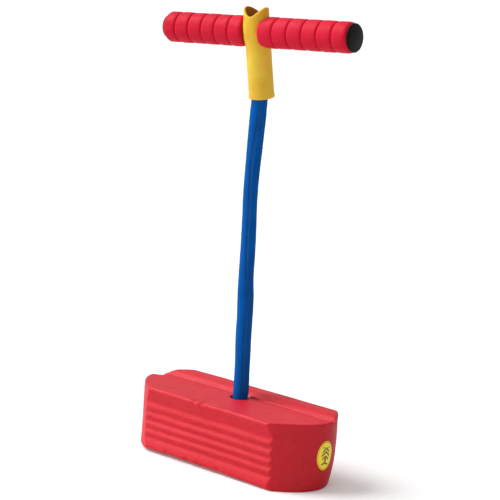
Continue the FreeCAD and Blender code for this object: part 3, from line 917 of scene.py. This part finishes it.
# ---------------------------------------------------------------- foam plugs underneath
def build_plug(node, hole=0.0):
    """A plug with a rounded lower edge and, where hole is given, a hole of that radius."""
    radius, axis_point, bottom, top = upright(node)
    edge = 1.6
    flat = radius - edge
    side = [
        (flat + 1.55 * math.sin(a), bottom + edge - edge * math.cos(a))
        for a in np.linspace(0, 1, 6) * math.pi / 2
    ]
    side += [(radius - 0.05, (bottom + top) / 2), (radius - 0.05, top - 0.7)]
    side += [(radius - 0.7, top - 0.05)]
    side += [(f * flat, top - 0.05) for f in (0.75, 0.5, 0.3)]
    lower = [(f * flat, bottom + 0.25 * (1 - f * f)) for f in (0.3, 0.5, 0.75)]
    if hole:
        bore = [
            (hole + 0.4, top - 0.05), (hole, top - 0.5), (hole, (bottom + top) / 2),
            (hole, bottom + 0.9), (hole + 0.5, bottom + 0.3),
        ]
        profile = side + bore + lower
    else:
        profile = [(0.8, bottom + 0.25)] + lower + side + [(0.8, top - 0.05)]
    ob = revolve(node + "_foam", profile, axis_point, segments=72, closed=bool(hole))
    dress(ob, PLUG_FOAM)
    fit(ob, node, body="base")


build_plug("bottom_plug")
build_plug("squeaker_plug", hole=2.0)


# ---------------------------------------------------------------- squeaker bellows
def build_bellows():
    _, axis_point, bottom, top = upright("squeaker_bellows")
    neck, valley, peak, wall = 12.9, 11.2, 14.2, 1.3
    stations = [  # (radius, height)
        (neck, bottom), (neck, 20.6), (valley, 23.0), (peak, 25.5), (valley, 28.0),
        (peak, 30.5), (valley, 33.0), (peak, 35.6), (13.0, top),
    ]
    outer = np.vstack([resample(stations[:2], 6)[:-1], spline(stations[1:], 60)])
    outer[:, 0] = np.minimum(outer[:, 0], peak)
    inner = outer[::-1] - (wall, 0)
    ob = revolve("squeaker_bellows_skin", np.vstack([outer, inner]), axis_point, segments=72)
    dress(ob, SQUEAKER_SOFT)
    press = dict(anchor=(0, 0, bottom * MM), keep=1 - PRESS_TRAVEL / (top - bottom))
    fit(ob, "squeaker_bellows", body="base", press=press)


build_bellows()

# ---------------------------------------------------------------- cord: centre line
CORD_STRAIGHT = 12.0  # straight rise above the pivot
CORD_STOPS = (np.array([-3.3, 2.2, 270.0]), np.array([-2.6, 6.9, 420.0]))
HEAD_START, HEAD_END = -58, -29  # straight run below the bar's centre, up the collar
# cord stations: (height z, sideways sway, cover radius)
CORD_STATIONS = np.array([
    (84, 0.0, 9.8), (92, 0.8, 9.8), (98, 0.9, 9.85), (113, 0.8, 9.6), (129, 0.6, 9.6),
    (144, 0.3, 9.85), (159, 0.15, 9.9), (175, 0.3, 10.0), (190, 0.55, 10.15), (206, 0.45, 10.2),
    (221, 0.2, 10.15), (236, -0.5, 9.7), (252, -0.2, 9.5), (266, 0.5, 9.6), (282, 0.6, 9.5),
    (297, 0.45, 9.35), (312, 0.2, 9.2), (327, -0.4, 9.15), (342, -0.7, 9.2), (357, -0.95, 9.2),
    (372, -0.85, 9.35), (387, -0.85, 9.6), (402, -0.9, 9.9), (417, -1.0, 10.1),
    (432, -1.3, 10.25), (447, -1.4, 10.3), (462, -1.3, 10.2), (480, -0.6, 9.9), (500, 0.0, 9.7),
])
SWAY_ANGLE = math.radians(43.5)  # direction of the sway, from +X towards +Y
SWAY_SIDE = np.array([math.cos(SWAY_ANGLE), math.sin(SWAY_ANGLE), 0.0])


def eased(column, z):
    """A column of the cord's stations at z, averaged over a few mm."""
    shifts = (0, -9, -6, -3, 3, 6, 9)
    heights, values = CORD_STATIONS[:, 0], CORD_STATIONS[:, column]
    return sum(np.interp(z + shift, heights, values) for shift in shifts) / len(shifts)


def arc(start, tangent, end, count):
    """Points after start on the arc that leaves along tangent, and the tangent at its end."""
    chord = end - start
    normal = chord - tangent * chord.dot(tangent)
    normal = normal / np.linalg.norm(normal)
    radius = chord.dot(chord) / (2 * chord.dot(normal))
    sweep = 2 * math.asin(np.linalg.norm(chord) / (2 * radius))
    centre = start + normal * radius
    points = [
        centre - normal * radius * math.cos(k) + tangent * radius * math.sin(k)
        for k in np.linspace(0, sweep, count)[1:]
    ]
    return points, tangent * math.cos(sweep) + normal * math.sin(sweep)


def cord_line():
    """Straight rise, two long arcs, two arcs that turn into the collar, straight head."""
    points = [PIVOT + np.array([0, 0, h]) for h in np.linspace(0, CORD_STRAIGHT, 13)]
    tangent = np.array([0, 0, 1.0])
    here = np.array([0, 0, PIVOT[2] + CORD_STRAIGHT])
    for stop in CORD_STOPS:
        part, tangent = arc(here, tangent, stop, 130)
        points += part
        here = stop
    # two arcs that meet smoothly and arrive along the collar's axis
    goal = BAR_CENTRE + HANDLE_UP * HEAD_START
    gap = goal - here
    s, k = gap.dot(tangent + HANDLE_UP), 1 - tangent.dot(HANDLE_UP)
    reach = (-s + math.sqrt(s * s + 2 * k * gap.dot(gap))) / (2 * k)
    middle = (here + goal + (tangent - HANDLE_UP) * reach) * 0.5
    for stop in (middle, goal):
        part, tangent = arc(here, tangent, stop, 50)
        points += part
        here = stop
    points += [BAR_CENTRE + HANDLE_UP * h for h in np.linspace(HEAD_START, HEAD_END, 30)[1:]]
    line = np.array(points)
    z = line[:, 2]
    return line + SWAY_SIDE * (eased(1, z) * smooth(84, 92, z))[:, None]


CORD_LINE = cord_line()
CORD_TANGENT = np.gradient(CORD_LINE, axis=0)
CORD_TANGENT /= np.linalg.norm(CORD_TANGENT, axis=1)[:, None]
CORD_ALONG = lengths(CORD_LINE)
CORD_LENGTH = CORD_ALONG[-1]


def cord_frames(count, start):
    """Distance along the cord, centre and two side directions of count stations to its end."""
    along = np.linspace(start, CORD_LENGTH, count)
    centre, tangent = (
        np.stack([np.interp(along, CORD_ALONG, column) for column in curve.T], 1)
        for curve in (CORD_LINE, CORD_TANGENT)
    )
    tangent /= np.linalg.norm(tangent, axis=1)[:, None]
    side_a = np.array([1.0, 0, 0]) - tangent * tangent[:, :1]
    side_a /= np.linalg.norm(side_a, axis=1)[:, None]
    return along, centre, side_a, np.cross(tangent, side_a)


def strands(angles, along=0.0):
    """Six shallow flutes, 0 to 2, that slowly turn along the rubber."""
    return 1 + np.cos(6 * angles + along / 20.0)


# ---------------------------------------------------------------- cord: pieces
SLEEVE_FOOT_R = 9.25  # half-round foot about the pivot
SLEEVE_BORE = 7.05
SLEEVE_MIN_R = 7.6


def build_sleeve():
    segments, stations = 72, 300
    angles = turn(segments)
    along, centre, side_a, side_b = cord_frames(stations, 0.0)
    rings, uvs, marks = [], [], []

    def ring(middle, a, b, radius, distance, mark=0.0):
        rings.append(ring_at(middle, a, b, radius, angles))
        uvs.extend([(k / segments, distance / UV_LENGTH) for k in range(segments)])
        marks.extend(np.broadcast_to(mark, segments))

    def angle_from(direction):
        return (angles - direction + math.pi) % (2 * math.pi) - math.pi

    x_axis, y_axis, z_axis = np.eye(3)
    for k in np.linspace(math.asin(SLEEVE_BORE / SLEEVE_FOOT_R), math.pi / 2, 9)[:-1]:
        drop = SLEEVE_FOOT_R * math.cos(k)
        ring(PIVOT - z_axis * drop, x_axis, y_axis, SLEEVE_FOOT_R * math.sin(k), -drop)
    radii = eased(2, centre[:, 2])
    radii = SLEEVE_FOOT_R + (radii - SLEEVE_FOOT_R) * smooth(-1.0, 9.0, along)
    # a long crease wanders down the cover, with raised lips and a fainter crease opposite
    creases = math.radians(-42) + 0.25 * np.sin(along / 55.0) + 0.12 * np.sin(along / 19.0 + 1.0)
    fades = smooth(6, 16, along) * (1 - smooth(CORD_LENGTH - 34, CORD_LENGTH - 24, along))
    for i in range(stations):
        near = angle_from(creases[i])
        opposite = angle_from(creases[i] + 2.5)
        relief = -0.85 * bell(near, 0, 0.13) + 0.22 * bell(np.abs(near), 0.34, 0.16)
        relief -= 0.40 * bell(opposite, 0, 0.14)
        relief += 0.30 * tube_noise(angles, 1.1, along[i] / 34.0)
        relief += 0.13 * tube_noise(angles, 2.6, along[i] / 11.0 + 7)
        radius = np.maximum(radii[i] + fades[i] * relief, SLEEVE_MIN_R)
        mark = fades[i] * bell(near, 0, 0.10)
        ring(centre[i], side_a[i], side_b[i], radius, along[i], mark)
    # the bore, back down to the pivot
    for i in (stations - 1, *range(stations - 2, -1, -8), 0):
        ring(centre[i], side_a[i], side_b[i], SLEEVE_BORE, along[i])
    ob = loft("cord_sleeve_cover", rings, closed=True, uvs=uvs, sharp=60, marks=marks)
    dress(ob, CORD_COVER)
    fit(ob, "cord_sleeve")


def build_core():
    """The rubber cord inside the cover, with a smaller plain first ring."""
    angles = turn(40)
    along, centre, side_a, side_b = cord_frames(150, 7.2)
    rings = []
    for i, distance in enumerate(along):
        radius = 5.6 if i == 0 else 6.5 - 0.12 * strands(angles, distance)
        rings.append(ring_at(centre[i], side_a[i], side_b[i], radius, angles))
    ob = loft("cord_core_rubber", rings, sharp=50)
    dress(ob, CORD_RUBBER)
    fit(ob, "cord_core")


def build_neck():
    """A fluted ball."""
    radius, axis_point, bottom, top = upright("cord_neck")
    centre = axis_point + (0, 0, (bottom + top) / 2)
    profile = [
        (radius * math.sin(a), -radius * math.cos(a))
        for a in np.linspace(0.08, math.pi - 0.08, 25)
    ]
    ob = revolve("cord_neck_rubber", profile, centre, segments=48, closed=False,
                 wobble=lambda r, h, angles: -0.10 * strands(angles) * r / radius)
    dress(ob, CORD_RUBBER)
    fit(ob, "cord_neck", body="neck")


def build_tail():
    """The cord's end inside the block, slightly pinched in at one height."""
    radius, _, bottom, top = upright("cord_tail")
    pinch_z, pinch_width, pinch_depth = 17, 3.0, 0.35
    profile = [
        (1.0, bottom), (radius - 1.2, bottom), (radius - 0.3, bottom + 0.5),
        (radius - 0.02, bottom + 1.4),
    ]
    for z in np.linspace(bottom + 3, top - 3, 26):
        profile.append((radius - 0.02 - pinch_depth * bell(z, pinch_z, pinch_width), z))
    profile += [
        (radius - 0.05, top - 1.2), (radius - 0.5, top - 0.3), (radius - 1.4, top), (1.0, top),
    ]
    ob = revolve("cord_tail_rubber", profile, (0, 0, 0), segments=56, closed=False,
                 wobble=lambda r, h, angles: -0.06 * strands(angles, h) * (r > 5))
    dress(ob, CORD_COVER)
    fit(ob, "cord_tail", body="base")


build_sleeve()
build_core()
build_neck()
build_tail()

# ---------------------------------------------------------------- collar
COLLAR_R, COLLAR_BORE = 15.7, 12.2
# heights from the bar's centre; the rim peaks over the bar and dips at the front and back
COLLAR_BOTTOM, COLLAR_PEAK, COLLAR_VALLEY = -82.0, 31.0, 21.0
RIM_DROP = COLLAR_PEAK - COLLAR_VALLEY
RIM_ARC_R = (COLLAR_R**2 + RIM_DROP**2) / (2 * RIM_DROP)
RIM_ROUND, FOOT_ROUND = 1.6, 1.2
BAR_HOLE_R = 11.12
COLLAR_INSIDE_R = 13.3  # faces nearer the axis than this that face it are the inside


def collar_rings():
    angles = turn(120)
    cos, sin = np.cos(angles), np.sin(angles)

    def ring(radius, z, outer):
        """A ring with the small swellings of the soft wall."""
        z = np.broadcast_to(z, angles.shape)
        foot_lip = 0.6 * bell(z, COLLAR_BOTTOM + 2.0, 4.0) * (1 if outer else 0.3)
        beside_bar = 0.45 * bell(z, 0, 15.0) * sin**2
        # the -X wall is pushed out round the bar, with a soft lip
        reach = np.sqrt((COLLAR_R * sin) ** 2 + z**2)
        bar_lip = 2.3 * bell(np.maximum(reach - 11.0, 0), 0, 5.5) * smooth(0.0, 0.35, -cos)
        radius = radius + foot_lip + beside_bar + bar_lip
        radius = radius + 0.28 * tube_noise(angles, 1.2, z / 26.0)
        return np.stack([radius * cos, radius * sin, z], 1)

    low = COLLAR_BOTTOM + FOOT_ROUND
    high = COLLAR_PEAK - RIM_ARC_R + np.sqrt(RIM_ARC_R**2 - (COLLAR_R * sin) ** 2) - RIM_ROUND
    middle, half = (COLLAR_R + COLLAR_BORE) / 2, (COLLAR_R - COLLAR_BORE) / 2
    rings = []
    # up the outside from the rounded foot, over the rim, down the bore
    for a in np.linspace(0, 1, 6)[:-1] * math.pi / 2:
        radius = COLLAR_R - FOOT_ROUND + FOOT_ROUND * math.sin(a)
        rings.append(ring(radius, low - FOOT_ROUND * math.cos(a), True))
    for f in np.linspace(0, 1, 78):
        rings.append(ring(COLLAR_R, low + (high - low) * f, True))
    for a in np.linspace(0, math.pi, 11)[1:-1]:
        rings.append(ring(middle + half * math.cos(a), high + RIM_ROUND * math.sin(a), True))
    for f in np.linspace(1, 0, 60):
        rings.append(ring(COLLAR_BORE, low + (high - low) * f, False))
    for a in np.linspace(0, 1, 5)[1:] * math.pi / 2:
        radius = COLLAR_BORE + 1.0 - 1.0 * math.cos(a)
        rings.append(ring(radius, low - FOOT_ROUND * math.sin(a), False))
    return np.array(rings)


def build_collar():
    ob = loft("collar_soft", in_handle(collar_rings()), closed=True)
    bar_hole = [(BAR_HOLE_R, h) for h in (-30, -20, 0, 20, 30)]
    subtract(ob, revolve("cutter", bar_hole, BAR_CENTRE, axis=BAR_AXIS, ref=HANDLE_UP,
                         closed=False))
    shade(ob.data, sharp=50)
    dress(ob, COLLAR_RUBBER, COLLAR_INSIDE_PAINTED_SHADE)
    # the inner wall's faces get the darker amber, painted shade for the inside of the tube
    for polygon in ob.data.polygons:
        out = np.array(polygon.center) * 1000 - BAR_CENTRE
        out = out - HANDLE_UP * out.dot(HANDLE_UP)
        distance = np.linalg.norm(out)
        if distance < COLLAR_INSIDE_R and np.array(polygon.normal).dot(out) < -0.3 * distance:
            polygon.material_index = 1
    fit(ob, "collar", body="handle")


build_collar()

# ---------------------------------------------------------------- grips and end caps
GRIP_R, BAR_R = 19.0, 11.0
GRIP_BORE = BAR_R + 0.1
LOBE_PUFFS = (0.10, -0.08, 0.05, -0.12, 0.08, 0.0)  # extra radius of each lobe, from the collar
HUG_LENGTH = 26.0  # part of the grip that bends to the collar's round wall
SPIGOT_LENGTH = 16.0  # the cap's reach into the tube
CAP_FACE_R = 12.4


def grip_profile(start, end, soft):
    """(x, radius) from the bore over six lobes and back. soft scales the outer end's edge."""
    last = len(LOBE_PUFFS) - 1
    step = (end - start) / len(LOBE_PUFFS)
    points = [(start, GRIP_BORE), (start, BAR_R + 3.0), (start, GRIP_R - 3.2)]
    for i, puff in enumerate(LOBE_PUFFS):
        x0 = start + i * step
        x1 = x0 + step
        # edges: (distance in from the lobe's end, radius over GRIP_R)
        groove = [(0.12, -2.5), (0.30, -1.5), (0.75, -0.75), (1.7, -0.28), (3.4, 0.02 + puff)]
        enter, leave = groove, groove[::-1]
        if i == 0:
            enter = [(0.1, -2.0), (0.6, -1.0), (1.7, -0.3), (3.4, 0.05)]
        if i == last:
            leave = [
                (5.2 * soft, 0.05), (3.6 * soft, -0.3 * soft), (2.2 * soft, -0.9 * soft),
                (1.1 * soft, -1.8 * soft), (0.35 * soft, -3.0 * soft),
                (0.0, -4.6 * min(soft, 1.4)),
            ]
        points += [(x0 + dx, GRIP_R + rise) for dx, rise in enter]
        points += [(x0 + step * f, GRIP_R + 0.15 + puff) for f in (0.3, 0.4, 0.5, 0.6, 0.7)]
        points += [(x1 - dx, GRIP_R + rise) for dx, rise in leave]
    points += [(end, GRIP_R - 6.5), (end, GRIP_BORE)]
    return subdivide(points, step=2.6) + [(x, GRIP_BORE) for x in np.linspace(end, start, 20)[1:-1]]


def build_grip(tag, side, seed, start, hug_r, soft):
    end = bar_end(tag + "_grip", side)
    angles = turn(96)
    cos, sin = np.cos(angles), np.sin(angles)
    rings = []
    for x, r in grip_profile(start, end, soft):
        outer = smooth(BAR_R + 2, GRIP_R - 2.0, r)
        swell = noise_at(np.stack([np.full(len(angles), x / 16.0 + seed), cos * 1.3, sin * 1.3], 1))
        radius = r + 0.20 * swell * outer
        along = np.full(len(angles), float(x))
        if start + 3 < x < end - 3:
            along += 0.35 * outer * noise.noise(Vector((x / 21.0 + seed, 4.2, 1.1))) * cos
        back = radius * cos
        if x < start + HUG_LENGTH:
            # the end by the collar hugs its wall
            hug = np.maximum(np.sqrt(np.clip(hug_r**2 - back**2, 0, None)), start)
            along = hug + (along - start) * (start + HUG_LENGTH - hug) / HUG_LENGTH
        rings.append(in_handle(np.stack([side * along, side * back, radius * sin], 1)))
    ob = loft(tag + "_grip_foam", rings, closed=True, sharp=62)
    dress(ob, GRIP_FOAM)
    fit(ob, tag + "_grip", body="handle")


def build_cap(tag, side, rim_r, dome):
    """A spigot in the tube and a round head. dome scales the head's height."""
    tube_end = SPIGOT_LENGTH - bar_end(tag + "_end_cap", -side)
    seat = tube_end + 0.5
    inner = tube_end - SPIGOT_LENGTH
    profile = [
        (0.6, inner), (8.2, inner), (9.0, inner + 0.4), (9.5, inner + 1.2),
        (9.5, tube_end - 8.0), (9.5, seat), (11.5, seat), (rim_r - 1.2, seat),
    ]
    # head: (distance in from the rim, height over the seat)
    edge = [(1.2, 0.0), (0.35, 0.35), (0.0, 1.3), (0.5, 2.3), (1.7, 3.0), (3.0, 3.25)]
    groove = [(3.4, 3.22), (3.8, 3.12), (4.3, 3.20), (4.8, 3.4)]
    profile += [tuple(p) for p in spline([(rim_r - d, seat + h * dome) for d, h in edge], 20)[1:]]
    profile += [(rim_r - d, seat + h * dome) for d, h in groove]
    for r in (12.2, 11.0, 9.5, 7.5, 5.2, 3.0, 0.6):
        height = 3.5 + 0.8 * (1 - (r / CAP_FACE_R) ** 2)
        profile.append((r * (rim_r - 5.2) / CAP_FACE_R, seat + height * dome))
    ob = revolve(tag + "_cap_moulding", profile, BAR_CENTRE, axis=side * BAR_AXIS, ref=HANDLE_UP,
                 closed=False, sharp=40)
    dress(ob, CAP_PLASTIC)
    fit(ob, tag + "_end_cap", body="handle")


build_grip("right", side=1, seed=2.3, start=10.6, hug_r=COLLAR_R + 0.5, soft=1.0)
build_cap("right", side=1, rim_r=17.6, dome=1.0)
build_grip("left", side=-1, seed=7.9, start=13.6, hug_r=COLLAR_R + 2.9, soft=1.55)
build_cap("left", side=-1, rim_r=14.6, dome=0.55)  # the foam closes over this cap's edge


# ---------------------------------------------------------------- stage, light, camera (metres)
def floor_paper():
    """White paper, brighter to the camera than to other rays and clear from underneath."""
    m = Mat("floor_paper")
    m.set(spec=0.05)
    ray = m.nodes.new("ShaderNodeLightPath").outputs["Is Camera Ray"]
    tone = m.ramp(m.noise(scale=1.3, detail=2, rough=0.5), over=(0.35, 0.65))
    paper = m.mix(tone, rgb(250, 250, 250), rgb(252, 252, 252))
    m.color(m.mix(ray, rgb(224, 224, 224), paper))
    m.set(glow=(1, 1, 1, 1), glow_strength=m.ramp(ray, over=(0, 1), to=(0.0, 0.12)))
    m.roughness(m.noise(scale=40, rough=0.5), span=(0.82, 0.95))
    m.bump(m.noise(scale=900, rough=0.5), strength=0.05, distance=0.0002)
    geometry = m.nodes.new("ShaderNodeNewGeometry")
    clear = m.nodes.new("ShaderNodeBsdfTransparent")
    pick = m.nodes.new("ShaderNodeMixShader")
    m.feed(geometry.outputs["Backfacing"], pick.inputs[0])
    m.feed(m.shader.outputs[0], pick.inputs[1])
    m.feed(clear.outputs[0], pick.inputs[2])
    m.feed(pick.outputs[0], m.nodes["Material Output"].inputs["Surface"])
    return m.material


def build_floor(half=24.0):
    mesh = bpy.data.meshes.new("floor")
    corners = [(-half, -half, 0), (half, -half, 0), (half, half, 0), (-half, half, 0)]
    mesh.from_pydata(corners, [], [(0, 1, 2, 3)])
    floor = bpy.data.objects.new("floor", mesh)
    bpy.context.scene.collection.objects.link(floor)
    mesh.materials.append(floor_paper())


def build_world(bright_side=(-0.85, -0.35, 0.25), span=(-0.9, 0.9), strength=(0.34, 0.62)):
    """White surroundings, graded from dim to bright towards bright_side."""
    world = bpy.data.worlds.new("studio")
    bpy.context.scene.world = world
    world.use_nodes = True
    nodes, links = world.node_tree.nodes, world.node_tree.links
    background = nodes["Background"]
    coords = nodes.new("ShaderNodeTexCoord")
    dot = nodes.new("ShaderNodeVectorMath")
    dot.operation = "DOT_PRODUCT"
    dot.inputs[1].default_value = bright_side
    grade = nodes.new("ShaderNodeMapRange")
    grade.inputs["From Min"].default_value, grade.inputs["From Max"].default_value = span
    grade.inputs["To Min"].default_value, grade.inputs["To Max"].default_value = strength
    links.new(coords.outputs["Generated"], dot.inputs[0])
    links.new(dot.outputs["Value"], grade.inputs["Value"])
    links.new(grade.outputs["Result"], background.inputs["Strength"])
    background.inputs["Color"].default_value = (1.0, 1.0, 1.0, 1)


def add_light(name, kind, energy, location, aim):
    """A light at location that shines along aim."""
    data = bpy.data.lights.new(name, kind)
    data.energy = energy
    ob = bpy.data.objects.new(name, data)
    ob.location = location
    ob.rotation_mode = "QUATERNION"
    ob.rotation_quaternion = aim.to_track_quat("-Z", "Y")
    bpy.context.scene.collection.objects.link(ob)
    return data


def build_lights():
    source = Vector((-0.58, -0.37, 0.74))
    key = add_light("key", "SUN", energy=2.4, location=source.normalized() * 4, aim=-source)
    key.angle = math.radians(38)
    place = Vector((-1.8, -1.88, 0.62))
    aim = Vector((0, 0, 0.2)) - place
    side = add_light("side", "AREA", energy=12.5, location=place, aim=aim)
    side.shape = "RECTANGLE"
    side.size, side.size_y = 1.3, 1.3


def build_camera(azimuth, elevation, roll, target, distance):
    """azimuth turns from the front (-Y) towards +X. Angles in degrees."""
    data = bpy.data.cameras.new("camera")
    ob = bpy.data.objects.new("camera", data)
    bpy.context.scene.collection.objects.link(ob)
    a, e, r = (math.radians(k) for k in (azimuth, elevation, roll))
    back = Vector((math.sin(a) * math.cos(e), -math.cos(a) * math.cos(e), math.sin(e)))
    level = Vector((math.cos(a), math.sin(a), 0))
    upward = back.cross(level)
    right = level * math.cos(r) + upward * math.sin(r)
    up = -level * math.sin(r) + upward * math.cos(r)
    place = Vector(target) + back * distance
    ob.matrix_world = Matrix((*zip(right, up, back, place), (0, 0, 0, 1)))
    data.sensor_width = 36
    data.sensor_fit = "HORIZONTAL"
    data.lens = 154.54296
    data.shift_x, data.shift_y = 0.00466, 0.02172
    data.clip_start, data.clip_end = 0.05, 100
    bpy.context.scene.camera = ob


build_floor()
build_world()
build_lights()
build_camera(azimuth=43.54, elevation=10.68, roll=3.2, target=(0, 0, 0.261), distance=2.6748)

view = bpy.context.scene.view_settings
view.view_transform = "Standard"
view.look = "None"
view.exposure, view.gamma = 0.0, 1.0
